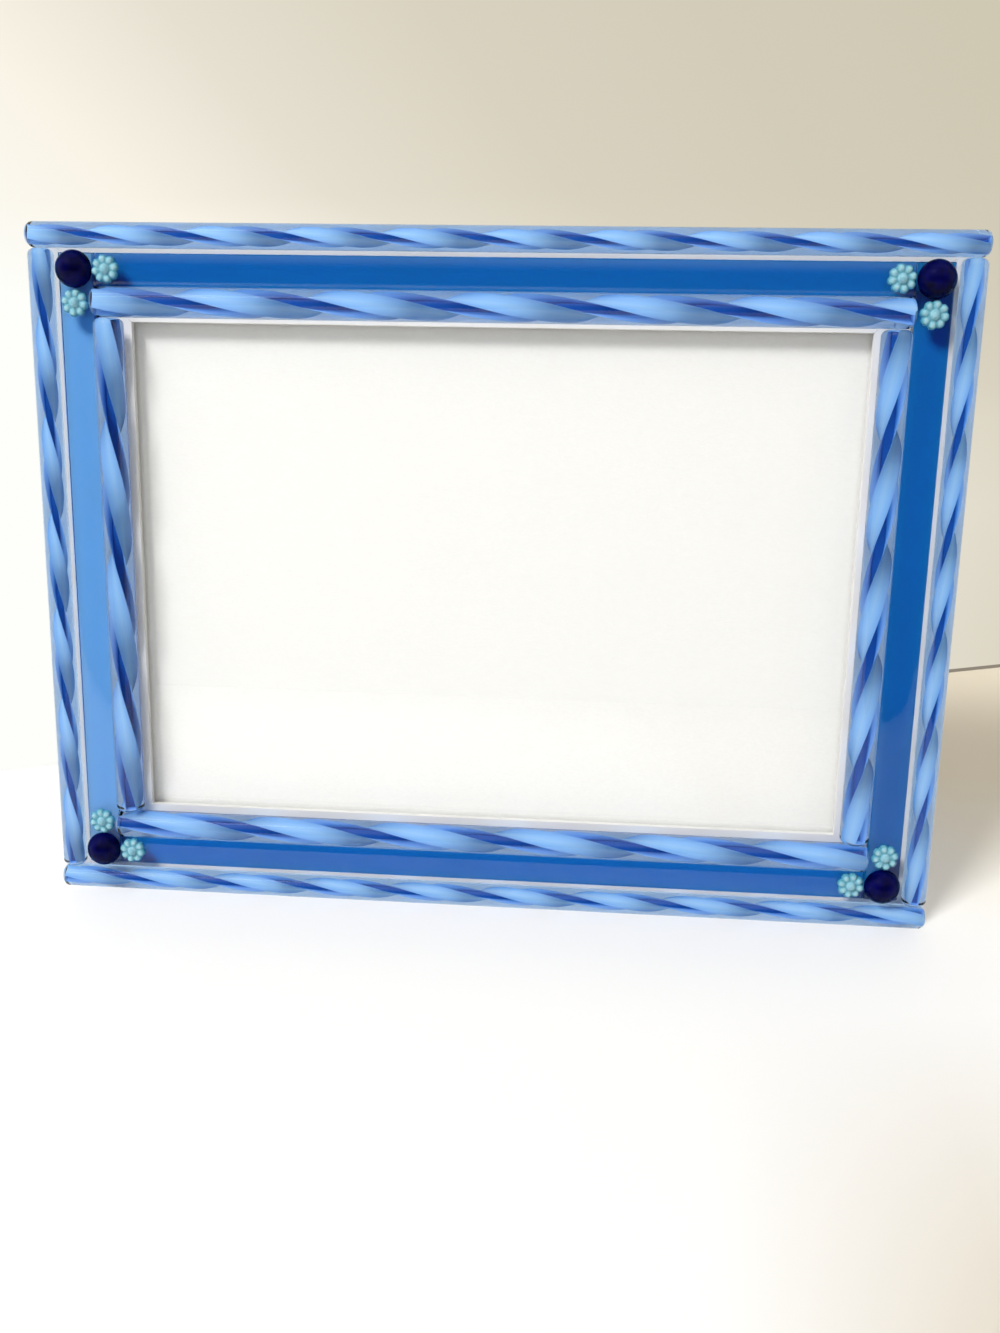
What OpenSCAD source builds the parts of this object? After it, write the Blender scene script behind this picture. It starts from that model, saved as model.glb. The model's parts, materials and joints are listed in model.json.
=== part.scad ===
// Glass picture frame on an easel strut, standing, leaned back on its planed rear edge.
// Millimetres. +X right, +Y to the back, +Z up. The origin is the middle of the box's underside.
// Front pieces are placed in board coordinates: y is 0 on the carrier's back face and negative
// towards the front, z is 0 on the carrier's bottom edge.

/* [Frame] */
// Width over the outer canes
frame_w = 213; // [190:1:260]
// Height over the outer canes
frame_h = 160; // [146:1:200]
// Angle that the frame leans back
lean = 13; // [10:1:16]
// Width of the flat planed on the carrier's rear bottom edge
seat_w = 2.5; // [1.5:0.1:4]

/* [Glass canes] */
// Diameter of the outer canes
outer_cane_d = 5.7; // [5:0.1:6.5]
// Diameter of the inner canes
inner_cane_d = 6.8; // [6:0.1:7.5]
// Radius of the fire polished cane ends
cane_end_r = 1.1; // [0.6:0.1:1.6]
// Gap where two canes meet end on
cane_joint = 0.15; // [0.1:0.05:0.4]

/* [Glass strips] */
// Width of the flat strips at the sides
side_strip_w = 8; // [7:0.1:9]
// Width of the flat strips along the top and the bottom
long_strip_w = 7.3; // [7:0.1:8.5]
// Thickness of the flat strips
strip_t = 3; // [2:0.1:4]
// Radius of the polished strip edges
strip_edge_r = 0.6; // [0.3:0.1:0.9]
// White gap between an outer cane and its strip
outer_seam = 0.9; // [0.6:0.1:1.4]
// Gap between a strip and its inner cane, and where two strips meet
inner_seam = 0.1; // [0.05:0.05:0.3]
// Thickness of the clear glue under the glass
glue_t = 0.05; // [0.02:0.01:0.1]

/* [Corner beads] */
// Diameter of the domed corner beads
dome_d = 8.4; // [7:0.1:8.6]
// Height of the domed corner beads
dome_h = 3.8; // [3:0.1:4.1]
// Height of the straight band below the dome
dome_band = 0.5; // [0.3:0.1:0.8]
// Diameter over the petals of a rosette
rosette_d = 6.4; // [5.6:0.1:6.6]
// Thickness of a rosette at its petals
rosette_t = 1.5; // [1:0.1:2]
// Number of petals
petals = 8; // [6:1:9]
// Width of a petal
petal_w = 2; // [1.6:0.1:2.4]
// Diameter of the round eye in a rosette
eye_d = 2.2; // [1.6:0.1:2.6]
// Height of the eye above the petals
eye_h = 0.7; // [0.4:0.1:0.9]
// Gap between a rosette and its corner bead
bead_gap = 0.05; // [0.03:0.01:0.3]

/* [Carrier] */
// Thickness of the lip that holds the glass pane
lip_t = 1.5; // [1.2:0.1:3]
// How far the carrier's outer edge stays inside the canes
carrier_inset = 0.3; // [0.1:0.1:0.6]
// How far the carrier's white face shows inside the inner canes
sight_reveal = 0.8; // [0.3:0.1:1.5]
// How far the lip laps the pane at the sides
side_lap = 6.05; // [5:0.05:7]
// How far the lip laps the pane along the top and the bottom
long_lap = 6.8; // [5:0.1:8]
// Leg length of a mitre nail
nail_leg = 6; // [4:0.5:7]
// Thickness of a mitre nail
nail_t = 0.8; // [0.6:0.1:1.2]
// Depth that a mitre nail is driven
nail_depth = 7; // [5:0.5:8]
// Distance of a mitre nail from the outer edges
nail_inset = 6; // [5:0.5:7]

/* [Picture pack] */
// Thickness of the glass pane
pane_t = 2; // [1.8:0.1:2.5]
// Thickness of the blank white foam card
card_t = 3.6; // [3:0.1:5]
// Thickness of the back board
board_t = 3; // [2.5:0.1:4]
// Thickness of the velour lining
lining_t = 0.4; // [0.3:0.1:0.6]
// Play of the pack in the rebate, each side
pack_play = 0.25; // [0.1:0.05:0.5]
// How far a lining stays inside its board
lining_inset = 0.4; // [0.2:0.1:1]

/* [Strut] */
// Distance of the hinge pin below the carrier's top edge
pin_drop = 49.4; // [46:0.2:60]
// Angle between strut and board when open
open_angle = 26; // [24:1:30]
// Thickness of the strut board
strut_t = 3; // [2.5:0.1:3.4]
// Width of the strut at its hinge end
strut_top_w = 14; // [12:0.5:18]
// Width of the strut at its foot
strut_foot_w = 40; // [34:1:50]
// Length of the parallel stretch above the foot
strut_foot_l = 14; // [8:1:20]

/* [Hinge] */
// Thickness of the hinge steel
hinge_t = 1; // [0.8:0.1:1.2]
// Diameter of the hinge pin
pin_d = 2; // [1.6:0.1:2.2]
// Running clearance round the pin
pin_play = 0.05; // [0.03:0.01:0.08]
// Radius of the ears round the pin
ear_r = 2.2; // [2:0.1:2.3]
// Height of the pin above the back board
pin_y = 3.6; // [3.5:0.1:4.2]
// Gap between the inner and the outer ears
ear_gap = 0.2; // [0.15:0.05:0.3]
// Width of the plate on the back board
plate_w = 30; // [28:0.5:36]
// Height of that plate above the pin
plate_up = 24; // [22:0.5:28]
// Height of that plate below the pin
plate_down = 4; // [3:0.5:6]
// Length of the channel along the strut
channel_l = 22; // [20:0.5:26]
// Clearance between the strut and the channel
channel_play = 0.1; // [0.05:0.05:0.2]
// Gap left at the stop when the strut is open
stop_gap = 0.05; // [0.03:0.01:0.1]
// Thickness of the heads on the pin
pin_head_t = 0.8; // [0.5:0.1:1]
// Diameter of the heads on the pin
pin_head_d = 3.4; // [3:0.1:3.8]

/* [Rivets] */
// Diameter of a rivet
rivet_d = 2; // [1.6:0.1:2.4]
// Diameter of a rivet head
rivet_head_d = 4; // [3.6:0.1:4.4]
// Height of a domed rivet head
rivet_head_h = 0.9; // [0.6:0.1:1.1]
// Depth of the sunk flat head on the far side
rivet_sunk_h = 0.7; // [0.5:0.1:0.9]
// Half the distance between the plate's rivets, sideways
rivet_x = 9; // [8:0.5:10]
// Height of the plate's lower rivets above the pin
rivet_low_z = 13.5; // [13:0.5:15]
// Height of the plate's upper rivets above the pin
rivet_high_z = 20; // [18:0.5:21]

/* [Turn buttons] */
// Distance of a turn button from the carrier's side edge
button_side = 48.2; // [40:0.2:60]
// Distance of a turn button's screw from the carrier's edge
button_edge = 7.2; // [6.5:0.1:8]
// Length from the screw to the tip
button_l = 12.5; // [11.5:0.5:14]
// Width at the screw
button_w = 8; // [7:0.5:9]
// Width at the tip
button_tip_w = 6; // [5:0.5:7]
// Thickness of a turn button
button_t = 0.9; // [0.7:0.1:1.2]
// Gap between a turn button and the board behind it
button_gap = 0.1; // [0.05:0.05:0.2]
// Diameter of a screw
screw_d = 2.5; // [2.2:0.1:3]
// Clearance round a screw in its turn button
screw_play = 0.08; // [0.05:0.01:0.1]
// Diameter of a screw head
screw_head_d = 5; // [4.6:0.1:5.6]
// Height of a screw head
screw_head_h = 1.5; // [1.2:0.1:1.8]
// Depth of a screw in the carrier
screw_depth = 8; // [6:0.5:9]
// Width of the slot in a screw head
slot_w = 0.7; // [0.5:0.1:0.9]
// Depth of the slot in a screw head
slot_depth = 0.7; // [0.5:0.1:0.8]

/* [Hidden] */
$fn = 48;
// Overrun of every cut
over = 1;
// Carrier, from the front of the lip to the back
carrier_t = lip_t + pane_t + card_t + board_t + lining_t;
carrier_w = frame_w - 2 * carrier_inset;
carrier_h = frame_h - 2 * carrier_inset;
mid_z = carrier_h / 2;
// Height of the table plane above the carrier's bottom edge line
seat_drop = seat_w * sin(lean) * cos(lean);
// Front face of the carrier and the face of the strips
front_y = -carrier_t;
glass_y = front_y - glue_t;
strip_face_y = glass_y - strip_t;
// Distance from the middle to each row's outer edge, sideways and up
side_strip_x = frame_w / 2 - outer_cane_d - outer_seam;
long_strip_z = frame_h / 2 - outer_cane_d - outer_seam;
inner_cane_x = side_strip_x - side_strip_w - inner_seam;
inner_cane_z = long_strip_z - long_strip_w - inner_seam;
// Sight opening between the inner canes, and in the carrier
opening_w = 2 * (inner_cane_x - inner_cane_d);
opening_h = 2 * (inner_cane_z - inner_cane_d);
sight_w = opening_w - 2 * sight_reveal;
sight_h = opening_h - 2 * sight_reveal;
rebate_w = sight_w + 2 * side_lap;
rebate_h = sight_h + 2 * long_lap;
pack_w = rebate_w - 2 * pack_play;
pack_h = rebate_h - 2 * pack_play;
// Corner beads sit on the strips' middle lines
dome_x = side_strip_x - side_strip_w / 2;
dome_z = long_strip_z - long_strip_w / 2;
bead_step = dome_d / 2 + rosette_d / 2 + bead_gap;
bead_y = strip_face_y - glue_t;
// Height of the hinge pin along the board
pin_z = carrier_h - pin_drop;
// Strut, seen along the hinge pin
strut_back_y = strut_t / 2 + lining_t;
strut_angle = open_angle - lean;
pin_world_z = pin_z * cos(lean) - pin_y * sin(lean) - seat_drop;
strut_l = pin_world_z / cos(strut_angle);
strut_blank_l = strut_l + strut_t;
strut_top_gap = pin_d / 2 + channel_play;
heel_l = (strut_back_y * cos(open_angle) + pin_y - hinge_t - stop_gap) / sin(open_angle);
// Hinge, across its ears
inner_ear_x = strut_top_w / 2 + channel_play;
outer_ear_x = inner_ear_x + hinge_t + ear_gap;
ear_outside_x = outer_ear_x + hinge_t;
// Leaf rivets along the strut, below the pin
leaf_rivet_shares = [0.45, 0.82];
// Ends of the box from front to back, for the origin
cane_y = front_y - glue_t - outer_cane_d / 2;
cane_z = outer_cane_d / 2 - carrier_inset;
front_end = cane_y * cos(lean) + cane_z * sin(lean) - outer_cane_d / 2;
pin_from_edge = pin_y * cos(lean) + pin_z * sin(lean);
back_end = pin_from_edge + pin_world_z * tan(strut_angle) + strut_back_y / cos(strut_angle);
shift_y = -(front_end + back_end) / 2;
table_span = 2 * frame_w;
// Corner signs, sideways and up
left = -1;
right = 1;
low = -1;
high = 1;

// Leans the board back and stands its planed edge on the table
module lean_back() {
    translate([0, shift_y, -seat_drop]) rotate([-lean, 0, 0]) children();
}

// Puts children at a place on the board that is measured from the middle of the frame
module on_board(x, y, z) {
    lean_back() translate([x, y, mid_z + z]) children();
}

// Turns children from the hinge pin's own place to the open strut
module on_strut() {
    lean_back() translate([0, pin_y, pin_z]) rotate([open_angle, 0, 0]) children();
}

// Everything below the table, for the two edges that stand on it
module below_table() {
    translate([-table_span / 2, -table_span / 2, -table_span]) cube([table_span, table_span, table_span]);
}

// A round glass cane on its axis, with fire polished ends
module cane(d, l) {
    r = d / 2;
    rotate_extrude() {
        square([r - cane_end_r, l]);
        translate([0, cane_end_r]) square([r, l - 2 * cane_end_r]);
        intersection() {
            square([r, l]);
            union() {
                translate([r - cane_end_r, cane_end_r]) circle(r = cane_end_r);
                translate([r - cane_end_r, l - cane_end_r]) circle(r = cane_end_r);
            }
        }
    }
}

module level_cane(d, l, z) {
    color([0.62, 0.78, 0.96, 0.6])
    on_board(-l / 2, glass_y - d / 2, z) rotate([0, 90, 0]) cane(d, l);
}

module upright_cane(d, l, x) {
    color([0.62, 0.78, 0.96, 0.6]) on_board(x, glass_y - d / 2, -l / 2) cane(d, l);
}

module outer_cane_top() { level_cane(outer_cane_d, frame_w, (frame_h - outer_cane_d) / 2); }
module outer_cane_bottom() { level_cane(outer_cane_d, frame_w, -(frame_h - outer_cane_d) / 2); }

outer_side_l = frame_h - 2 * outer_cane_d - 2 * cane_joint;
module outer_cane_left() { upright_cane(outer_cane_d, outer_side_l, -(frame_w - outer_cane_d) / 2); }
module outer_cane_right() { upright_cane(outer_cane_d, outer_side_l, (frame_w - outer_cane_d) / 2); }

inner_row_z = inner_cane_z - inner_cane_d / 2;
inner_row_x = inner_cane_x - inner_cane_d / 2;
module inner_cane_top() { level_cane(inner_cane_d, 2 * inner_cane_x, inner_row_z); }
module inner_cane_bottom() { level_cane(inner_cane_d, 2 * inner_cane_x, -inner_row_z); }

inner_side_l = opening_h - 2 * cane_joint;
module inner_cane_left() { upright_cane(inner_cane_d, inner_side_l, -inner_row_x); }
module inner_cane_right() { upright_cane(inner_cane_d, inner_side_l, inner_row_x); }

// Section of a strip: flat back, polished front edges. x across, y out of the board
module strip_section(w) {
    translate([-w / 2, 0]) square([w, strip_t - strip_edge_r]);
    translate([-w / 2 + strip_edge_r, 0]) square([w - 2 * strip_edge_r, strip_t]);
    for (side = [left, right])
        translate([side * (w / 2 - strip_edge_r), strip_t - strip_edge_r]) circle(r = strip_edge_r);
}

module upright_strip(w, l, x) {
    color("steelblue") on_board(x, glass_y, l / 2)
    rotate([180, 0, 0]) linear_extrude(height = l) strip_section(w);
}

module level_strip(w, l, z) {
    color("steelblue") on_board(-l / 2, glass_y, z)
    rotate([0, 90, 0]) rotate([0, 0, 180]) linear_extrude(height = l) strip_section(w);
}

level_strip_l = 2 * (side_strip_x - side_strip_w - inner_seam);
module strip_top() { level_strip(long_strip_w, level_strip_l, dome_z); }
module strip_bottom() { level_strip(long_strip_w, level_strip_l, -dome_z); }
module strip_left() { upright_strip(side_strip_w, 2 * long_strip_z, -dome_x); }
module strip_right() { upright_strip(side_strip_w, 2 * long_strip_z, dome_x); }

// Domed bead with a short straight band, its flat back on the strip
module corner_dome(side, level) {
    cap_h = dome_h - dome_band;
    ball_r = (pow(dome_d / 2, 2) + pow(cap_h, 2)) / (2 * cap_h);
    color([0.05, 0.02, 0.3]) on_board(side * dome_x, bead_y, level * dome_z)
    rotate([90, 0, 0]) {
        cylinder(d = dome_d, h = dome_band);
        intersection() {
            translate([0, 0, dome_h - ball_r]) sphere(r = ball_r);
            translate([0, 0, dome_band]) cylinder(d = dome_d, h = cap_h);
        }
    }
}

module corner_dome_top_left() { corner_dome(left, high); }
module corner_dome_top_right() { corner_dome(right, high); }
module corner_dome_bottom_left() { corner_dome(left, low); }
module corner_dome_bottom_right() { corner_dome(right, low); }

// Flower shaped bead: round petals about a domed eye
module rosette() {
    petal_ring = (rosette_d - petal_w) / 2;
    eye_ball = (pow(eye_d / 2, 2) + pow(eye_h, 2)) / (2 * eye_h);
    color([0.5, 0.8, 0.87]) rotate([90, 0, 0]) {
        for (i = [0 : petals - 1])
            rotate([0, 0, i * 360 / petals]) translate([petal_ring, 0, 0]) cylinder(d = petal_w, h = rosette_t);
        cylinder(r = petal_ring, h = rosette_t);
        intersection() {
            translate([0, 0, rosette_t + eye_h - eye_ball]) sphere(r = eye_ball);
            translate([0, 0, rosette_t]) cylinder(d = eye_d, h = eye_h);
        }
    }
}

// Rosette a lies on the level strip and rosette b on the side strip
module rosette_a(side, level) {
    on_board(side * (dome_x - bead_step), bead_y, level * dome_z) rosette();
}

module rosette_b(side, level) {
    on_board(side * dome_x, bead_y, level * (dome_z - bead_step)) rosette();
}

module rosette_top_left_a() { rosette_a(left, high); }
module rosette_top_left_b() { rosette_b(left, high); }
module rosette_top_right_a() { rosette_a(right, high); }
module rosette_top_right_b() { rosette_b(right, high); }
module rosette_bottom_left_a() { rosette_a(left, low); }
module rosette_bottom_left_b() { rosette_b(left, low); }
module rosette_bottom_right_a() { rosette_a(right, low); }
module rosette_bottom_right_b() { rosette_b(right, low); }

// One L shaped nail across each mitre, driven in from the back
module nail_outline() {
    translate([-nail_t / 2, -nail_t / 2]) square([nail_leg, nail_t]);
    translate([-nail_t / 2, -nail_t / 2]) square([nail_t, nail_leg]);
}

module nails_in_place() {
    for (side = [left, right])
        for (level = [low, high])
            translate([side * (carrier_w / 2 - nail_inset), 0, level * (carrier_h / 2 - nail_inset)])
            rotate([90, 0, 0]) linear_extrude(height = nail_depth)
            mirror([side > 0 ? 1 : 0, 0]) mirror([0, level > 0 ? 1 : 0]) nail_outline();
}

module mitre_nails() {
    color("silver") on_board(0, 0, 0) nails_in_place();
}

// Places of the turn buttons' screws, measured from the middle of the frame
button_x = carrier_w / 2 - button_side;
button_z = carrier_h / 2 - button_edge;
button_places = [for (level = [low, high]) for (side = [left, right]) [side * button_x, level * button_z]];

// A mitred rail between its outer and its sight edge, cut back for the picture pack
module rail(outline) {
    color("white") difference() {
        on_board(0, 0, 0) difference() {
            rotate([90, 0, 0]) linear_extrude(height = carrier_t) polygon(outline);
            translate([-rebate_w / 2, front_y + lip_t, -rebate_h / 2])
            cube([rebate_w, carrier_t, rebate_h]);
            nails_in_place();
            for (place = button_places)
                translate([place[0], over, place[1]]) rotate([90, 0, 0])
                cylinder(d = screw_d, h = screw_depth + over);
        }
        below_table();
    }
}

module level_rail(level) {
    rail([[-carrier_w / 2, level * carrier_h / 2], [carrier_w / 2, level * carrier_h / 2],
          [sight_w / 2, level * sight_h / 2], [-sight_w / 2, level * sight_h / 2]]);
}

module upright_rail(side) {
    rail([[side * carrier_w / 2, -carrier_h / 2], [side * carrier_w / 2, carrier_h / 2],
          [side * sight_w / 2, sight_h / 2], [side * sight_w / 2, -sight_h / 2]]);
}

module carrier_rail_top() { level_rail(high); }
module carrier_rail_bottom() { level_rail(low); }
module carrier_rail_left() { upright_rail(left); }
module carrier_rail_right() { upright_rail(right); }

// One flat sheet of the picture pack, its front face at y
module sheet(y, t, inset) {
    on_board(-pack_w / 2 + inset, y, -pack_h / 2 + inset)
    cube([pack_w - 2 * inset, t, pack_h - 2 * inset]);
}

pane_y = front_y + lip_t;
card_y = pane_y + pane_t;
board_y = card_y + card_t;
lining_y = board_y + board_t;

module glass_pane() { color([0.8, 0.9, 0.88, 0.3]) sheet(pane_y, pane_t, 0); }
module blank_card() { color("white") sheet(card_y, card_t, 0); }

// Places of the plate's rivets on the back board
plate_rivet_places = [for (x = [-rivet_x, rivet_x]) for (z = [rivet_low_z, rivet_high_z]) [x, pin_z + z]];

module at_plate_rivets() {
    for (place = plate_rivet_places)
        lean_back() translate([place[0], 0, place[1]]) rotate([-90, 0, 0]) children();
}

module back_board() {
    color("saddlebrown") difference() {
        sheet(board_y, board_t, 0);
        at_plate_rivets() translate([0, 0, -board_t - lining_t - over])
        cylinder(d = rivet_d, h = board_t + 2 * over);
        at_plate_rivets() translate([0, 0, -board_t - lining_t - over])
        cylinder(d = rivet_head_d, h = rivet_sunk_h + over);
    }
}

module board_lining() {
    color("black") difference() {
        sheet(lining_y, lining_t, lining_inset);
        at_plate_rivets() translate([0, 0, -lining_t - over]) cylinder(d = rivet_d, h = lining_t + 2 * over);
    }
}

// Rivet along +Z: sunk flat head, shank through a stack, domed head on z = 0
module rivet(stack) {
    ball_r = (pow(rivet_head_d / 2, 2) + pow(rivet_head_h, 2)) / (2 * rivet_head_h);
    translate([0, 0, -stack]) cylinder(d = rivet_head_d, h = rivet_sunk_h);
    translate([0, 0, -stack]) cylinder(d = rivet_d, h = stack + rivet_head_h / 2);
    intersection() {
        translate([0, 0, rivet_head_h - ball_r]) sphere(r = ball_r);
        cylinder(d = rivet_head_d, h = rivet_head_h);
    }
}

module plate_rivets() {
    color("silver") at_plate_rivets() translate([0, 0, hinge_t]) rivet(board_t + lining_t + hinge_t);
}

// Steel plate on the back board, with two ears that carry the pin
module hinge_plate() {
    color("silver") difference() {
        lean_back() {
            translate([-plate_w / 2, 0, pin_z - plate_down]) cube([plate_w, hinge_t, plate_up + plate_down]);
            for (side = [left, right])
                translate([side * (outer_ear_x + hinge_t / 2), 0, pin_z]) {
                    translate([-hinge_t / 2, 0, -ear_r]) cube([hinge_t, pin_y, 2 * ear_r]);
                    translate([-hinge_t / 2, pin_y, 0]) rotate([0, 90, 0]) cylinder(r = ear_r, h = hinge_t);
                }
        }
        lean_back() translate([-plate_w, pin_y, pin_z]) rotate([0, 90, 0])
        cylinder(d = pin_d, h = 2 * plate_w);
        at_plate_rivets() translate([0, 0, -over]) cylinder(d = rivet_d, h = hinge_t + 2 * over);
    }
}

// Pin through all four ears, headed at both ends
module hinge_pin() {
    color("silver") lean_back() translate([0, pin_y, pin_z]) rotate([0, 90, 0]) {
        translate([0, 0, -ear_outside_x]) cylinder(d = pin_d, h = 2 * ear_outside_x);
        translate([0, 0, ear_outside_x]) cylinder(d = pin_head_d, h = pin_head_t);
        translate([0, 0, -ear_outside_x - pin_head_t]) cylinder(d = pin_head_d, h = pin_head_t);
    }
}

// Places of the channel's rivets, below the pin along the strut
module at_channel_rivets() {
    for (share = leaf_rivet_shares)
        on_strut() translate([0, strut_back_y, -channel_l * share]) rotate([-90, 0, 0]) children();
}

// Outline of the strut: narrow in its channel, then widening to the foot
module strut_outline(inset) {
    top = strut_top_w / 2 - inset;
    foot = strut_foot_w / 2 - inset;
    polygon([[-top, -strut_top_gap - inset], [top, -strut_top_gap - inset],
             [top, -channel_l], [foot, -strut_l + strut_foot_l], [foot, -strut_blank_l],
             [-foot, -strut_blank_l], [-foot, -strut_l + strut_foot_l], [-top, -channel_l]]);
}

// A flat layer of the strut between two heights off its middle plane
module strut_layer(y, t, inset) {
    on_strut() translate([0, y + t, 0]) rotate([90, 0, 0]) linear_extrude(height = t) strut_outline(inset);
}

module strut_board() {
    color("saddlebrown") difference() {
        strut_layer(-strut_t / 2, strut_t, 0);
        below_table();
        at_channel_rivets() translate([0, 0, -strut_t - lining_t - over])
        cylinder(d = rivet_d, h = strut_t + 2 * over);
        at_channel_rivets() translate([0, 0, -strut_t - lining_t - over])
        cylinder(d = rivet_head_d, h = rivet_sunk_h + over);
    }
}

module strut_lining() {
    color("black") difference() {
        strut_layer(strut_t / 2, lining_t, lining_inset);
        below_table();
        at_channel_rivets() translate([0, 0, -lining_t - over]) cylinder(d = rivet_d, h = lining_t + 2 * over);
    }
}

// Steel channel round the strut's top, with ears on the pin and a heel that is the stop
module strut_channel() {
    outside = inner_ear_x + hinge_t;
    color("silver") difference() {
        on_strut() {
            translate([-outside, strut_back_y, -channel_l]) cube([2 * outside, hinge_t, channel_l + heel_l]);
            for (side = [left, right])
                translate([side * (inner_ear_x + hinge_t / 2) - hinge_t / 2, 0, 0]) {
                    translate([0, -strut_t / 2, -channel_l])
                    cube([hinge_t, strut_t / 2 + strut_back_y + hinge_t, channel_l - ear_r]);
                    translate([0, 0, -ear_r]) cube([hinge_t, strut_back_y + hinge_t, 2 * ear_r]);
                    rotate([0, 90, 0]) cylinder(r = ear_r, h = hinge_t);
                }
        }
        on_strut() translate([-plate_w, 0, 0]) rotate([0, 90, 0])
        cylinder(d = pin_d + 2 * pin_play, h = 2 * plate_w);
        at_channel_rivets() translate([0, 0, -over]) cylinder(d = rivet_d, h = hinge_t + 2 * over);
    }
}

module channel_rivets() {
    color("silver") at_channel_rivets() translate([0, 0, hinge_t]) rivet(strut_t + lining_t + hinge_t);
}

// Flat steel button with a round tip, turned about its screw
module turn_button(side, level) {
    tip_z = button_l - button_tip_w / 2;
    color("silver") on_board(side * button_x, button_gap, level * button_z)
    rotate([-90, level > 0 ? 0 : 180, 0]) difference() {
        linear_extrude(height = button_t) {
            circle(d = button_w);
            translate([0, tip_z]) circle(d = button_tip_w);
            polygon([[-button_w / 2, 0], [button_w / 2, 0],
                     [button_tip_w / 2, tip_z], [-button_tip_w / 2, tip_z]]);
        }
        translate([0, 0, -over]) cylinder(d = screw_d + 2 * screw_play, h = button_t + 2 * over);
    }
}

module turn_button_top_left() { turn_button(left, high); }
module turn_button_top_right() { turn_button(right, high); }
module turn_button_bottom_left() { turn_button(left, low); }
module turn_button_bottom_right() { turn_button(right, low); }

// Slotted pan head screws, one through each turn button
module turn_button_screws() {
    seat = button_t + 2 * button_gap;
    color("silver") for (place = button_places)
        on_board(place[0], 0, place[1]) rotate([-90, 0, 0]) difference() {
            union() {
                translate([0, 0, -screw_depth]) cylinder(d = screw_d, h = screw_depth + seat);
                translate([0, 0, seat]) cylinder(d = screw_head_d, h = screw_head_h);
            }
            translate([-screw_head_d, -slot_w / 2, seat + screw_head_h - slot_depth])
            cube([2 * screw_head_d, slot_w, screw_head_h]);
        }
}

outer_cane_top();
outer_cane_bottom();
outer_cane_left();
outer_cane_right();
inner_cane_top();
inner_cane_bottom();
inner_cane_left();
inner_cane_right();
strip_top();
strip_bottom();
strip_left();
strip_right();
corner_dome_top_left();
corner_dome_top_right();
corner_dome_bottom_left();
corner_dome_bottom_right();
rosette_top_left_a();
rosette_top_left_b();
rosette_top_right_a();
rosette_top_right_b();
rosette_bottom_left_a();
rosette_bottom_left_b();
rosette_bottom_right_a();
rosette_bottom_right_b();
carrier_rail_top();
carrier_rail_bottom();
carrier_rail_left();
carrier_rail_right();
mitre_nails();
glass_pane();
blank_card();
back_board();
board_lining();
hinge_plate();
hinge_pin();
plate_rivets();
strut_board();
strut_lining();
strut_channel();
channel_rivets();
turn_button_top_left();
turn_button_top_right();
turn_button_bottom_left();
turn_button_bottom_right();
turn_button_screws();
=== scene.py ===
# %% [markdown]
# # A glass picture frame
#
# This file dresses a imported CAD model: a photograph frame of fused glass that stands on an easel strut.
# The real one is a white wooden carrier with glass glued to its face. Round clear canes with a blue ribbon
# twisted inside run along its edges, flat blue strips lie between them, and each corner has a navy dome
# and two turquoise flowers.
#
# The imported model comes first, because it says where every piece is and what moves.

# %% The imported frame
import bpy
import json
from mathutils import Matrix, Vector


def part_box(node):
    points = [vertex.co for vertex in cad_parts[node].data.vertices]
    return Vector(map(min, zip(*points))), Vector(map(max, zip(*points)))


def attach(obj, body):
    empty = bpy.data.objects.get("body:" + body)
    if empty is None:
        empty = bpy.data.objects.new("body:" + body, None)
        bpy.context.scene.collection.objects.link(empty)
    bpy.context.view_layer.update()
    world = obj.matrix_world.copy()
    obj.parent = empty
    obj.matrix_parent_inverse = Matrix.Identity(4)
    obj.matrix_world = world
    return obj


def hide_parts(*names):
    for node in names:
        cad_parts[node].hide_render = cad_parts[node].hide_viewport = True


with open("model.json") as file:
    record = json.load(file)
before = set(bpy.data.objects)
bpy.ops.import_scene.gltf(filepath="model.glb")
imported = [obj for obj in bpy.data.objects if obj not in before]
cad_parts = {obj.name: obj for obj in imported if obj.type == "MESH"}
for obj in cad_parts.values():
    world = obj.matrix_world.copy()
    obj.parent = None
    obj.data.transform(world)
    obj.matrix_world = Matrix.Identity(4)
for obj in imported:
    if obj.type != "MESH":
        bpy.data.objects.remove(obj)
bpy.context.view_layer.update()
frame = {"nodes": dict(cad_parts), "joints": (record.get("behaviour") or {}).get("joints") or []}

# %% [markdown]
# ## Where the board stands
#
# The board leans back on its rear bottom edge. It is easier to make a piece upright at the origin and to
# seat it afterwards, so one matrix takes a place on the board to its place in the room. It comes from the
# CAD itself: the screws of the turn buttons stand square to the board, so their axis gives the lean, and
# the middle of a side cane gives the point to turn about.
#
# On the board, x is to the right, y is to the back and starts at the carrier's white face, and z is up and
# starts at the middle of the frame.

# %% The board's matrix
import json
import math

import bmesh
import bpy
from mathutils import Matrix, Vector

MM = 0.001
GLUE = 0.05 * MM
OUTER_CANE = 5.7 * MM
INNER_CANE = 6.8 * MM

screw_axis = next(j["axis"] for j in frame["joints"] if j["name"] == "turn_top_left")
lean = math.atan2(-screw_axis[2], screw_axis[1])
cane_low, cane_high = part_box("outer_cane_left")
cane_middle = (cane_low + cane_high) / 2
board = (
    Matrix.Translation((0, cane_middle.y, cane_middle.z))
    @ Matrix.Rotation(-lean, 4, "X")
    @ Matrix.Translation((0, GLUE + OUTER_CANE / 2, 0))
)
print("lean in degrees:", round(math.degrees(lean), 2))

# %% [markdown]
# ## The camera
#
# The camera stands where the photographer stood: a little to the right, above the frame, and close, which
# is why the frame looks narrower at its foot. Its place was worked out from the frame's corners in the
# photograph. It holds no roll worth naming, and no shift is needed.

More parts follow.
